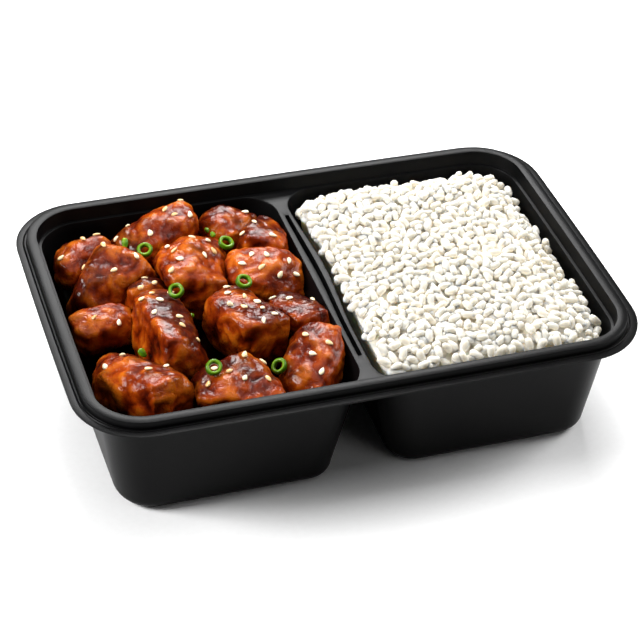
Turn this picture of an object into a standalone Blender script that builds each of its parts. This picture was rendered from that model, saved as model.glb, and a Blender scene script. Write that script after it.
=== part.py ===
"""Takeaway bento meal: a black two-compartment tray with glazed chicken pieces on the left,
spring-onion rings and sesame on them, and a mound of white rice on the right.

The tray's two tubs stand on the origin's plane. X runs along the tray, Y away from its near
long side, Z up. The origin is the middle of the base.
"""
import math
import random

import bpy
import bmesh
from mathutils import Euler, Matrix, Vector, noise
from mathutils.bvhtree import BVHTree
from mathutils.geometry import delaunay_2d_cdt

MM = 0.001

# Tray: the outline of the flange, then the rim's profile from the outer edge inwards
HALF_LENGTH = 111.0 * MM
HALF_WIDTH = 74.4 * MM
END_BOW = 0.9 * MM
SIDE_BOW = 0.6 * MM
HEIGHT = 52.0 * MM
WALL = 0.6 * MM
CORNER_RADIUS = 26.0 * MM
FLANGE_Z = 49.0 * MM
FLANGE_THICK = 0.7 * MM
FLANGE_WIDTH = 4.24 * MM
BEAD_HEIGHT = 0.4 * MM
BEAD_WIDTH = 0.8 * MM
BEAD_TO_WALL = 0.9 * MM
EDGE_ROUND = 0.4 * MM
RIM_INSET = 8.33 * MM
LEDGE_INSET = 8.92 * MM
COMPARTMENT_INSET = 10.27 * MM
DECK_Z = 46.4 * MM
CORNER_STEPS = 6
TOUCH = 1e-7

# Compartments: the divider's edges and how far the right one bows out half way along
DIVIDER_LEFT = -2.7 * MM
DIVIDER_RIGHT = 2.6 * MM
DIVIDER_BOW = 2.2 * MM
DIVIDER_BOW_MIDDLE = 10.0 * MM
DIVIDER_BOW_HALF = 42.0 * MM
DIVIDER_BOW_FADE = 1.5
DIVIDER_CUTS = 7
OUTER_CORNER = 16.0 * MM
DIVIDER_CORNER = 13.0 * MM
BASE_END = 94.2 * MM
BASE_SIDE = 60.4 * MM
BASE_DIVIDER = 12.1 * MM
BASE_OUTER_CORNER = 13.5 * MM
BASE_DIVIDER_CORNER = 11.5 * MM
BASE_ROUND = 4.0 * MM
ROUND_STEPS = 3

# Slot moulded into the divider, its sides following the bow in part
SLOT_X = (-0.8 * MM, 1.2 * MM)
SLOT_BOW = (0.25, 0.5)
SLOT_CUTS = 5
SLOT_Y = (-46.5 * MM, 48.0 * MM)
SLOT_DEPTH = 4.0 * MM
SLOT_DRAFT = 0.25 * MM
SLOT_WALL = 0.55 * MM
SLOT_CORNER = 0.8 * MM
SLOT_STEPS = 2

# Food stays this far from the tray and from other food
GAP = 0.35 * MM
CHUNK_GAP = 0.5 * MM

# Chicken pieces that show: centre, half sizes, then yaw, pitch and roll in degrees, steps and seeds
TOP_CHUNKS = {
    "chicken_far_left": ((-85.6, 46.5, 37.6), (14.0, 11.0, 11.5), (22, -8, 6), 4, 3),
    "chicken_left": ((-79.5, 27.5, 38.8), (18.5, 13.0, 13.0), (30, -16, 12), 5, 4),
    "chicken_back": ((-55.0, 50.5, 40.8), (20.0, 12.0, 12.5), (11, -9, 8), 5, 7),
    "chicken_back_inner": ((-26.5, 52.0, 38.8), (13.5, 10.5, 11.0), (-24, 6, 8), 4, 1),
    "chicken_back_right": ((-13.8, 39.0, 39.0), (12.0, 13.0, 12.0), (-30, 8, -6), 4, 3),
    "chicken_middle_back": ((-46.0, 27.0, 40.6), (19.0, 15.0, 13.5), (80, 8, 8), 5, 8),
    "chicken_right": ((-18.5, 14.5, 39.4), (17.0, 12.5, 12.5), (-24, 4, 10), 5, 7),
    "chicken_small_dark": ((-65.0, 18.5, 35.8), (11.0, 9.0, 11.0), (-4, 5, 0), 4, 3),
    "chicken_small_left": ((-86.6, 4.4, 36.4), (13.0, 8.5, 8.5), (10, -6, 4), 4, 2),
    "chicken_middle": ((-64.3, -11.3, 39.0), (22.5, 12.0, 13.5), (98, 8, 10), 5, 8),
    "chicken_middle_right": ((-35.8, -10.2, 39.3), (22.0, 12.5, 13.0), (106, 7, 8), 5, 9),
    "chicken_right_dark": ((-13.2, -10.6, 37.0), (14.0, 11.0, 12.0), (112, 5, 5), 4, 3),
    "chicken_front_left": ((-82.6, -33.0, 36.0), (22.0, 12.5, 13.5), (121, 9, 10), 5, 4),
    "chicken_front": ((-48.0, -45.0, 35.3), (19.5, 12.5, 13.0), (-14, 4, 12), 5, 7),
    "chicken_front_right": ((-16.3, -40.0, 36.6), (16.5, 11.5, 13.5), (58, -4, 7), 5, 4),
}
LOWER_GRID = 3
LOWER_COLUMNS = 3
LOWER_ROWS = 3
LOWER_HALF = (14.5, 20.5, 13.0)
LOWER_Z = 13.4
LOWER_JITTER = 2.0
LOWER_SIZE = (0.94, 1.04)
LOWER_YAW = 8.0
LOWER_TILT = 4.0
LOWER_SEED = 21
BLOCKINESS = 9.0
CUT_COUNT = 7
CUT_DEPTH = (0.82, 1.02)
LUMP_BROAD = 0.09
LUMP_BROAD_SCALE = 1.3
LUMP_FINE = 0.05
LUMP_FINE_SCALE = 2.9
LUMP_PLACE = (0.37, 0.53, 0.71)
CLIP_STEPS = 12

# Spring-onion rings: place, then how far and towards which heading each leans, in degrees
RINGS = {
    "onion_ring_back": (-62.8, 35.6, 24, 250),
    "onion_ring_back_right": (-30.1, 32.2, 20, 300),
    "onion_ring_middle": (-58.9, 1.0, 26, 230),
    "onion_ring_right": (-32.2, -0.4, 22, 290),
    "onion_ring_front": (-56.1, -43.6, 30, 265),
    "onion_ring_front_right": (-29.9, -41.0, 38, 200),
}
RING_RADIUS = 2.4 * MM
RING_WALL = 0.8 * MM
RING_HEIGHT = 2.3 * MM
RING_STEPS = 10
RING_DROP = 0.15 * MM

# Small bits of spring onion between the pieces: place, lean, heading, then half sizes in millimetres
ONION_BITS = {
    "onion_bit_back_left": (-68.6, 45.0, 30, 260, (2.8, 1.8, 1.4)),
    "onion_bit_back": (-34.0, 46.8, 10, 280, (1.5, 1.3, 1.2)),
    "onion_bit_back_near": (-33.2, 40.6, 20, 300, (1.6, 1.4, 1.2)),
    "onion_bit_middle": (-53.2, -0.8, 10, 250, (1.8, 1.4, 1.2)),
    "onion_bit_front_left": (-77.4, -19.6, 30, 300, (2.6, 2.0, 1.4)),
}
BIT_STEPS = 6
BIT_TAPER = 0.2
DROP_FROM = 68.0 * MM
DROP_TO = 23.0 * MM

# Sesame seeds: a teardrop of few faces
SEED_HALF = (1.6, 1.0, 0.55)
SEED_SINK = 0.25 * MM
SEED_STEPS = 6
SEED_CLEAR = 1.1 * MM
SEED_TAPER = 0.25
SEED_SPREAD = (0.75, 0.6)
SEED_FLATTEST = 0.55
SEED_TRIES = 160
SEED_DRAW = 5

# Rice: a mound with bumps of a grain's size, and loose grains on its uneven edge
RICE_PITCH = 3.7 * MM
RICE_EDGE_PITCH = 3.8 * MM
RICE_PLATEAU = 49.0 * MM
RICE_EDGE_BACK = 39.5 * MM
RICE_EDGE_RIGHT = 40.5 * MM
RICE_EDGE_LEFT = 48.6 * MM
RICE_EDGE_FRONT = 45.0 * MM
RICE_CORNER_DROPS = {
    "back_left": 40.0 * MM,
    "back_right": 27.0 * MM,
    "front_left": 4.0 * MM,
    "front_right": 14.0 * MM,
}
RICE_SIDE_LOW = 22.0 * MM
RICE_SLOPE = 18.0 * MM
RICE_ROLL = 1.0 * MM
RICE_ROLL_LENGTH = 26.0 * MM
RICE_ROLL_PLACE = (3.1, 0.4, 0.0)
RICE_GAP = 0.75 * MM
RICE_JITTER = 0.3
RICE_BORDER = 0.6
RICE_WALL_FOOT = 6.1 * MM
RICE_BUMP = 1.1 * MM
BUMP_HIGH = (0.5, 1.0)
BUMP_LOW = (-0.5, 0.1)
RICE_DRAW = 12
GRAIN_HALF = (2.9, 1.45, 1.4)
GRAIN_LIFT = 0.7 * MM
GRAIN_COUNT = 24
GRAIN_STEPS = 5
GRAIN_MARGIN = 6.0 * MM
GRAIN_SPREAD = 0.85
GRAIN_TILT = 0.4
GRAIN_APART = 6.4 * MM

TRAY_BLACK = (0.012, 0.012, 0.013, 1.0)
CHICKEN_GLAZE = (0.34, 0.075, 0.012, 1.0)
ONION_GREEN = (0.07, 0.24, 0.015, 1.0)
RICE_WHITE = (0.86, 0.83, 0.76, 1.0)


def clear_scene():
    for thing in list(bpy.data.objects):
        bpy.data.objects.remove(thing, do_unlink=True)


def make_material(name, colour, roughness):
    material = bpy.data.materials.new(name)
    material.use_nodes = True
    shader = material.node_tree.nodes["Principled BSDF"]
    shader.inputs["Base Color"].default_value = colour
    shader.inputs["Roughness"].default_value = roughness
    shader.inputs["Metallic"].default_value = 0.0
    return material


def add_object(name, bm, material):
    bmesh.ops.recalc_face_normals(bm, faces=bm.faces)
    if bm.calc_volume(signed=True) < 0:
        bmesh.ops.reverse_faces(bm, faces=bm.faces)
    mesh = bpy.data.meshes.new(name)
    bm.to_mesh(mesh)
    bm.free()
    mesh.materials.append(material)
    thing = bpy.data.objects.new(name, mesh)
    bpy.context.scene.collection.objects.link(thing)
    return thing


def mix(a, b, t):
    return a + (b - a) * t


# Tray

def bowed(x, y):
    """Swell the straight sides outwards, most at their middles."""
    across = 1.0 - (y / HALF_WIDTH) ** 2
    along = 1.0 - (x / HALF_LENGTH) ** 2
    return x + END_BOW * x / HALF_LENGTH * across, y + SIDE_BOW * y / HALF_WIDTH * along


def rounded_outline(x_range, y_range, radii, cuts, steps):
    """Counterclockwise points round a rectangle: right front corner, right back, left back, left front."""
    x0, x1 = x_range
    y0, y1 = y_range
    signs = ((1, -1), (1, 1), (-1, 1), (-1, -1))
    arcs = []
    for turn, ((sx, sy), radius) in enumerate(zip(signs, radii)):
        centre_x = (x1 if sx > 0 else x0) - sx * radius
        centre_y = (y1 if sy > 0 else y0) - sy * radius
        arc = []
        for k in range(steps + 1):
            angle = math.radians(90.0 * (turn - 1) + 90.0 * k / steps)
            arc.append((centre_x + radius * math.cos(angle), centre_y + radius * math.sin(angle)))
        arcs.append(arc)
    points = []
    for k, arc in enumerate(arcs):
        points += arc
        start, end = arc[-1], arcs[(k + 1) % 4][0]
        for cut in range(1, cuts[k] + 1):
            t = cut / (cuts[k] + 1)
            points.append((mix(start[0], end[0], t), mix(start[1], end[1], t)))
    return points


def rim_ring(inset, z):
    half_x = HALF_LENGTH - inset
    half_y = HALF_WIDTH - inset
    radius = CORNER_RADIUS - inset
    flat = rounded_outline((-half_x, half_x), (-half_y, half_y), (radius,) * 4, (1, 3, 1, 3), CORNER_STEPS)
    return [(*bowed(x, y), z) for x, y in flat]


def tub_edges(side, z, inset):
    """Walls of one compartment at a height, moved inwards by inset: x range, y half, corner radii."""
    t = (DECK_Z - z) / (DECK_Z - WALL)
    outer = mix(HALF_LENGTH - COMPARTMENT_INSET, BASE_END, t) - inset
    half_y = mix(HALF_WIDTH - COMPARTMENT_INSET, BASE_SIDE, t) - inset
    deck_edge = -DIVIDER_LEFT if side < 0 else DIVIDER_RIGHT
    inner = mix(deck_edge, BASE_DIVIDER, t) + inset
    outer_radius = mix(OUTER_CORNER, BASE_OUTER_CORNER, t) - inset
    inner_radius = mix(DIVIDER_CORNER, BASE_DIVIDER_CORNER, t) - inset
    bow = mix(DIVIDER_BOW, 0.0, min(t * DIVIDER_BOW_FADE, 1.0)) if side > 0 else 0.0
    return outer, inner, half_y, outer_radius, inner_radius, bow


def bow_share(y):
    """How much of the divider's bow shows at a place along it, from 0 to 1."""
    t = max(-1.0, min(1.0, (y - DIVIDER_BOW_MIDDLE) / DIVIDER_BOW_HALF))
    return math.cos(t * math.pi / 2) ** 2


def tub_outline(side, z, inset):
    outer, inner, half_y, outer_radius, inner_radius, bow = tub_edges(side, z, inset)
    if side > 0:
        x_range = (inner, outer)
        radii = (outer_radius, outer_radius, inner_radius, inner_radius)
        cuts = (1, 1, DIVIDER_CUTS, 1)
    else:
        x_range = (-outer, -inner)
        radii = (inner_radius, inner_radius, outer_radius, outer_radius)
        cuts = (DIVIDER_CUTS, 1, 1, 1)
    points = rounded_outline(x_range, (-half_y, half_y), radii, cuts, CORNER_STEPS)
    shaped = []
    for x, y in points:
        on_divider = side > 0 and abs(x - inner) < TOUCH
        push = bow * bow_share(y) if on_divider else 0.0
        shaped.append(bowed(x + push, y))
    return shaped


def tub_ring(side, z, inset):
    return [(x, y, z) for x, y in tub_outline(side, z, inset)]


def slot_ring(z, inset):
    radius = SLOT_CORNER - inset
    x_range = (SLOT_X[0] + inset, SLOT_X[1] - inset)
    y_range = (SLOT_Y[0] + inset, SLOT_Y[1] - inset)
    cuts = (SLOT_CUTS, 0, SLOT_CUTS, 0)
    middle = (x_range[0] + x_range[1]) / 2
    ring = []
    for x, y in rounded_outline(x_range, y_range, (radius,) * 4, cuts, SLOT_STEPS):
        share = SLOT_BOW[0] if x < middle else SLOT_BOW[1]
        ring.append((x + share * DIVIDER_BOW * bow_share(y), y, z))
    return ring


def add_rings(bm, rings):
    """Join a stack of rings of equal length with quads; return the first and last loops of vertices."""
    loops = [[bm.verts.new(point) for point in ring] for ring in rings]
    for low, high in zip(loops, loops[1:]):
        for k in range(len(low)):
            after = (k + 1) % len(low)
            bm.faces.new((low[k], low[after], high[after], high[k]))
    return loops[0], loops[-1]


def loop_edges(bm, loop):
    edges = []
    for k, vert in enumerate(loop):
        other = loop[(k + 1) % len(loop)]
        edges.append(bm.edges.get((vert, other)) or bm.edges.new((vert, other)))
    return edges


def build_tray():
    bm = bmesh.new()
    top_profile = (
        (0.0, FLANGE_Z),
        (FLANGE_WIDTH - BEAD_TO_WALL - BEAD_WIDTH, FLANGE_Z),
        (FLANGE_WIDTH - BEAD_TO_WALL - BEAD_WIDTH / 2, FLANGE_Z + BEAD_HEIGHT),
        (FLANGE_WIDTH - BEAD_TO_WALL, FLANGE_Z),
        (FLANGE_WIDTH - WALL / 2, FLANGE_Z),
        (FLANGE_WIDTH, HEIGHT - EDGE_ROUND),
        (FLANGE_WIDTH + EDGE_ROUND, HEIGHT),
        (RIM_INSET - EDGE_ROUND, HEIGHT),
        (RIM_INSET, HEIGHT - EDGE_ROUND),
        (LEDGE_INSET, DECK_Z),
    )
    under_profile = (
        (0.0, FLANGE_Z - FLANGE_THICK),
        (FLANGE_WIDTH + WALL / 2, FLANGE_Z - FLANGE_THICK),
        (FLANGE_WIDTH + WALL, HEIGHT - WALL),
        (RIM_INSET - WALL, HEIGHT - WALL),
        (LEDGE_INSET - WALL, DECK_Z - WALL),
    )
    rim = [rim_ring(inset, z) for inset, z in reversed(top_profile)]
    rim += [rim_ring(inset, z) for inset, z in under_profile]
    deck_rim, under_rim = add_rings(bm, rim)
    deck_loops, under_loops = [deck_rim], [under_rim]
    for side in (-1, 1):
        inside = [tub_ring(side, DECK_Z, -EDGE_ROUND), tub_ring(side, DECK_Z - EDGE_ROUND, 0.0)]
        outside = [tub_ring(side, DECK_Z - WALL, -WALL)]
        for k in range(ROUND_STEPS + 1):
            angle = math.radians(90.0 * k / ROUND_STEPS)
            in_z = WALL + BASE_ROUND * (1 - math.sin(angle))
            out_z = (BASE_ROUND + WALL) * (1 - math.sin(angle))
            inside.append(tub_ring(side, in_z, BASE_ROUND * (1 - math.cos(angle))))
            outside.append(tub_ring(side, out_z, (BASE_ROUND + WALL) * (1 - math.cos(angle)) - WALL))
        for rings, deck in ((inside, deck_loops), (outside, under_loops)):
            first, last = add_rings(bm, rings)
            deck.append(first)
            bm.faces.new(last)
    slot_rings = [slot_ring(DECK_Z, 0.0), slot_ring(DECK_Z - SLOT_DEPTH, SLOT_DRAFT)]
    under_slot = [slot_ring(DECK_Z - WALL, -SLOT_WALL)]
    under_slot.append(slot_ring(DECK_Z - SLOT_DEPTH - WALL, SLOT_DRAFT - SLOT_WALL))
    for rings, deck in ((slot_rings, deck_loops), (under_slot, under_loops)):
        first, last = add_rings(bm, rings)
        deck.append(first)
        bm.faces.new(last)
    for loops in (deck_loops, under_loops):
        edges = [edge for loop in loops for edge in loop_edges(bm, loop)]
        bmesh.ops.triangle_fill(bm, use_beauty=True, use_dissolve=False, edges=edges)
    return add_object("tray", bm, make_material("black_polypropylene", TRAY_BLACK, 0.42))


# Chicken

class Chunk:
    """A lumpy block with rounded edges, its corners cut by planes, made from sizes in millimetres."""

    def __init__(self, name, centre, half, turn, grid, seeds):
        yaw, pitch, roll = (math.radians(angle) for angle in turn)
        self.name = name
        self.centre = Vector(centre) * MM
        self.half = Vector(half) * MM
        self.matrix = Euler((roll, pitch, yaw), "XYZ").to_matrix()
        self.grid = grid
        self.seeds = seeds
        self.offset = Vector([value * share for value, share in zip(centre, LUMP_PLACE)])
        self.size = (self.half.x + self.half.y + self.half.z) / 3
        self.planes = [(Vector(axis), abs(Vector(axis).dot(self.half)))
                       for axis in ((1, 0, 0), (-1, 0, 0), (0, 1, 0), (0, -1, 0), (0, 0, 1), (0, 0, -1))]
        draw = random.Random(name)
        for _ in range(CUT_COUNT):
            normal = Vector([draw.gauss(0, 1) / size for size in half]).normalized()
            support = math.sqrt(sum((normal[k] * self.half[k]) ** 2 for k in range(3)))
            self.planes.append((normal, support * draw.uniform(*CUT_DEPTH)))

    def reach(self, direction):
        """Distance from the centre to the surface along a unit direction in the block's own axes."""
        shares = [max(0.0, direction.dot(normal) / distance) for normal, distance in self.planes]
        power = sum(share ** BLOCKINESS for share in shares)
        plain = power ** (-1.0 / BLOCKINESS)
        broad = noise.noise(direction * LUMP_BROAD_SCALE + self.offset)
        fine = noise.noise(direction * LUMP_FINE_SCALE - self.offset)
        return plain * (1.0 + LUMP_BROAD * broad + LUMP_FINE * fine)

    def depth(self, point):
        """Signed size of how far a point lies outside the block, in metres."""
        local = self.matrix.transposed() @ (point - self.centre)
        length = local.length
        if length < TOUCH:
            return -self.size
        return (length / self.reach(local / length) - 1.0) * self.size

    def directions(self):
        """A cube's grid of points, keyed by its integer place, as unit directions."""
        span = self.grid
        keys = set()
        for a in range(span + 1):
            for b in range(span + 1):
                for end in (0, span):
                    keys.update(((end, a, b), (a, end, b), (a, b, end)))
        places = {}
        for key in sorted(keys):
            spread = [math.tan(math.radians(45.0) * (2.0 * k / span - 1.0)) for k in key]
            places[key] = Vector([spread[k] * self.half[k] for k in range(3)]).normalized()
        return places


def inside_tray(point):
    """True where a point in the left compartment clears its walls and floor."""
    if point.z < WALL + GAP:
        return False
    low = min(point.z, DECK_Z)
    rounding = 0.0
    floor_height = point.z - WALL
    if floor_height < BASE_ROUND:
        rounding = BASE_ROUND - math.sqrt(max(0.0, BASE_ROUND ** 2 - (BASE_ROUND - floor_height) ** 2))
    outer, inner, half_y, outer_radius, inner_radius, _ = tub_edges(-1, low, rounding + GAP)
    x, y = point.x, abs(point.y)
    if not (-outer < x < -inner and y < half_y):
        return False
    for corner_x, radius, sign in ((-outer, outer_radius, 1), (-inner, inner_radius, -1)):
        centre_x = corner_x + sign * radius
        beyond_x = (centre_x - x) * sign
        beyond_y = y - (half_y - radius)
        if beyond_x > 0 and beyond_y > 0 and math.hypot(beyond_x, beyond_y) > radius:
            return False
    return True


def chunk_mesh(chunk, others):
    near = [o for o in others if (o.centre - chunk.centre).length < chunk.half.length + o.half.length]

    def allowed(point):
        if not inside_tray(point):
            return False
        own = chunk.depth(point)
        return all(own + 2 * CHUNK_GAP <= other.depth(point) for other in near)

    bm = bmesh.new()
    verts = {}
    for key, direction in chunk.directions().items():
        world = chunk.matrix @ direction
        low, high = 0.0, chunk.reach(direction)
        if not allowed(chunk.centre + world * high):
            for _ in range(CLIP_STEPS):
                middle = (low + high) / 2
                if allowed(chunk.centre + world * middle):
                    low = middle
                else:
                    high = middle
            high = low
        verts[key] = bm.verts.new(chunk.centre + world * high)
    span = chunk.grid
    for a in range(span):
        for b in range(span):
            for end in (0, span):
                square = ((a, b), (a + 1, b), (a + 1, b + 1), (a, b + 1))
                if end == 0:
                    square = square[::-1]
                bm.faces.new([verts[(end, u, v)] for u, v in square])
                bm.faces.new([verts[(v, end, u)] for u, v in square])
                bm.faces.new([verts[(u, v, end)] for u, v in square])
    return bm


def lower_chunks():
    """The layer under the pieces that show: a jittered grid of blocks on the floor."""
    draw = random.Random(LOWER_SEED)
    x_low, x_high = -BASE_END / MM, -BASE_DIVIDER / MM
    chunks = []
    for column in range(LOWER_COLUMNS):
        for row in range(LOWER_ROWS):
            x = mix(x_low, x_high, (column + 0.5) / LOWER_COLUMNS) + draw.uniform(-1, 1) * LOWER_JITTER
            y = mix(-1, 1, (row + 0.5) / LOWER_ROWS) * BASE_SIDE / MM + draw.uniform(-1, 1) * LOWER_JITTER
            half = [size * draw.uniform(*LOWER_SIZE) for size in LOWER_HALF]
            name = "chicken_lower_%d_%d" % (column + 1, row + 1)
            turn = [draw.uniform(-1, 1) * most for most in (LOWER_YAW, LOWER_TILT, LOWER_TILT)]
            chunks.append(Chunk(name, (x, y, LOWER_Z), half, turn, LOWER_GRID, 0))
    return chunks


def build_chicken():
    chunks = [Chunk(name, *numbers) for name, numbers in TOP_CHUNKS.items()]
    chunks += lower_chunks()
    material = make_material("glazed_chicken", CHICKEN_GLAZE, 0.3)
    built = {}
    for chunk in chunks:
        bm = chunk_mesh(chunk, [other for other in chunks if other is not chunk])
        bmesh.ops.triangulate(bm, faces=bm.faces)
        built[chunk.name] = add_object(chunk.name, bm, material)
    return chunks, built


def tree_of(things):
    """One search tree over several objects, whose meshes are in world space."""
    points, faces = [], []
    for thing in things:
        base = len(points)
        points += [vert.co.copy() for vert in thing.data.vertices]
        faces += [[base + k for k in face.vertices] for face in thing.data.polygons]
    return BVHTree.FromPolygons(points, faces)


def square_frame(normal, heading):
    """A turn whose Z is the normal and whose X is near a heading."""
    side = normal.cross(Vector((math.cos(heading), math.sin(heading), 0.0))).normalized()
    return Matrix((side.cross(normal), side, normal)).transposed()


# Spring onion

def build_rings(food):
    """Lower each leaning ring onto the chicken until it nearly touches."""
    tree = tree_of(food)
    material = make_material("spring_onion", ONION_GREEN, 0.35)
    rings = []
    for name, (x, y, lean, heading) in RINGS.items():
        turn = leaning(lean, heading)
        points = ring_points(lowered(tree, x, y, ring_points(Vector(), turn)), turn)
        bm = bmesh.new()
        verts = [bm.verts.new(point) for point in points]
        for k in range(RING_STEPS):
            after = (k + 1) % RING_STEPS
            for corner in range(4):
                beside = (corner + 1) % 4
                bm.faces.new((verts[4 * k + corner], verts[4 * after + corner],
                              verts[4 * after + beside], verts[4 * k + beside]))
        bmesh.ops.triangulate(bm, faces=bm.faces)
        rings.append(add_object(name, bm, material))
    for name, (x, y, lean, heading, half) in ONION_BITS.items():
        bm = bmesh.new()
        blob(bm, Vector(half) * MM, Vector(), leaning(lean, heading), BIT_STEPS, 2, BIT_TAPER)
        centre = lowered(tree, x, y, [vert.co.copy() for vert in bm.verts])
        bmesh.ops.translate(bm, vec=centre, verts=bm.verts)
        bmesh.ops.triangulate(bm, faces=bm.faces)
        rings.append(add_object(name, bm, material))
    return rings


def leaning(lean, heading):
    """A turn whose Z leans from upright by an angle towards a heading, both in degrees."""
    lean, heading = math.radians(lean), math.radians(heading)
    across = math.sin(lean)
    normal = Vector((across * math.cos(heading), across * math.sin(heading), math.cos(lean)))
    return square_frame(normal, heading)


def lowered(tree, x, y, points):
    """Where a thing's centre comes to rest when its points are lowered onto the chicken, just clear of it."""
    centre = Vector((x * MM, y * MM, DROP_FROM))
    step = Vector((0, 0, RING_DROP))
    while centre.z > DROP_TO:
        if min(tree.find_nearest(point + centre - step)[3] for point in points) < GAP + RING_DROP:
            break
        centre -= step
    return centre


def ring_points(centre, turn):
    """Four corners of the ring's section at each step round it."""
    points = []
    for k in range(RING_STEPS):
        angle = math.tau * k / RING_STEPS
        out = Vector((math.cos(angle), math.sin(angle), 0))
        for radial, height in ((-1, -1), (1, -1), (1, 1), (-1, 1)):
            local = out * (RING_RADIUS + radial * RING_WALL) + Vector((0, 0, height * RING_HEIGHT / 2))
            points.append(centre + turn @ local)
    return points


# Small pieces fused to what they lie on

def blob(bm, half, centre, turn, steps, rings, taper):
    """A closed pointed or rounded grain: rings of points between two end points."""
    ends = [bm.verts.new(centre + turn @ Vector((sign * half[0], 0, 0))) for sign in (-1, 1)]
    loops = []
    for k in range(1, rings + 1):
        t = -math.cos(math.pi * k / (rings + 1))
        width = math.sqrt(1 - t * t) * (1 - taper * t)
        loop = []
        for step in range(steps):
            angle = math.tau * step / steps
            side, up = width * half[1] * math.cos(angle), width * half[2] * math.sin(angle)
            loop.append(bm.verts.new(centre + turn @ Vector((t * half[0], side, up))))
        loops.append(loop)
    for k in range(steps):
        after = (k + 1) % steps
        bm.faces.new((ends[0], loops[0][after], loops[0][k]))
        bm.faces.new((ends[1], loops[-1][k], loops[-1][after]))
        for low, high in zip(loops, loops[1:]):
            bm.faces.new((low[k], low[after], high[after], high[k]))


def fuse(thing, blobs):
    """Join small closed solids to an object with one union."""
    group = bpy.data.collections.new(thing.name + "_small")
    bpy.context.scene.collection.children.link(group)
    for bm in blobs:
        bmesh.ops.triangulate(bm, faces=bm.faces)
        small = add_object(thing.name + "_small", bm, thing.data.materials[0])
        bpy.context.scene.collection.objects.unlink(small)
        group.objects.link(small)
    union = thing.modifiers.new("union", "BOOLEAN")
    union.operation = "UNION"
    union.operand_type = "COLLECTION"
    union.collection = group
    union.solver = "MANIFOLD"
    bpy.context.view_layer.update()
    evaluated = thing.evaluated_get(bpy.context.evaluated_depsgraph_get())
    mesh = bpy.data.meshes.new_from_object(evaluated)
    thing.modifiers.remove(union)
    thing.data = mesh
    for small in list(group.objects):
        bpy.data.objects.remove(small, do_unlink=True)
    bpy.data.collections.remove(group)


def seed_chicken(chunks, built, rings):
    """Scatter sesame over the upper side of each piece that shows, clear of every other node."""
    draw = random.Random(SEED_DRAW)
    for chunk in chunks:
        if not chunk.seeds:
            continue
        own = tree_of([built[chunk.name]])
        rest = tree_of([thing for name, thing in built.items() if name != chunk.name] + rings)
        placed, blobs = [], []
        for _ in range(SEED_TRIES):
            if len(placed) == chunk.seeds:
                break
            along = draw.uniform(-1, 1) * SEED_SPREAD[0] * chunk.half.x
            across = draw.uniform(-1, 1) * SEED_SPREAD[1] * chunk.half.y
            heading = draw.uniform(0, math.tau)
            start = chunk.centre + chunk.matrix @ Vector((along, across, 0))
            hit, normal, _, _ = own.ray_cast(Vector((start.x, start.y, DROP_FROM)), Vector((0, 0, -1)))
            if hit is None or normal.z < SEED_FLATTEST:
                continue
            centre = hit + normal * (SEED_HALF[2] * MM - SEED_SINK)
            reach = SEED_HALF[0] * MM + SEED_CLEAR
            crowded = any((centre - other).length < 2 * reach for other in placed)
            if crowded or rest.find_nearest(centre)[3] < reach:
                continue
            bm = bmesh.new()
            turn = square_frame(normal, heading)
            blob(bm, Vector(SEED_HALF) * MM, centre, turn, SEED_STEPS, 1, SEED_TAPER)
            placed.append(centre)
            blobs.append(bm)
        if blobs:
            fuse(built[chunk.name], blobs)


# Rice

def rice_height(x, y):
    """Top of the mound: a plateau that falls towards each wall to that wall's own edge height."""
    outer, inner, half_y, _, _, bow = tub_edges(1, DECK_Z, 0.0)
    left = x - inner - bow * bow_share(y)
    falls = []
    for distance, edge in ((outer - x, RICE_EDGE_RIGHT), (left, RICE_EDGE_LEFT),
                           (half_y - y, RICE_EDGE_BACK), (half_y + y, RICE_EDGE_FRONT)):
        share = max(0.0, 1.0 - max(distance, 0.0) / RICE_SLOPE) ** 2
        falls.append((share, share * (RICE_PLATEAU - edge)))
    right_share, left_share, back_share, front_share = (share for share, _ in falls)
    corners = {"back_left": back_share * left_share, "back_right": back_share * right_share,
               "front_left": front_share * left_share, "front_right": front_share * right_share}
    drop = sum(fall for _, fall in falls)
    drop += sum(share * RICE_CORNER_DROPS[corner] for corner, share in corners.items())
    rolling = noise.noise(Vector((x, y, 0)) / RICE_ROLL_LENGTH + Vector(RICE_ROLL_PLACE))
    return RICE_PLATEAU - drop + RICE_ROLL * rolling


def rice_outline():
    """The mound's border: each point lies at the tub's wall, at the height of the rice there."""
    outline = []
    for high, low in zip(tub_outline(1, DECK_Z, RICE_GAP), tub_outline(1, RICE_SIDE_LOW, RICE_GAP)):
        t = (rice_height(*high) - RICE_SIDE_LOW) / (DECK_Z - RICE_SIDE_LOW)
        t = max(0.0, min(1.0, t))
        outline.append((mix(low[0], high[0], t), mix(low[1], high[1], t)))
    return outline


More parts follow.
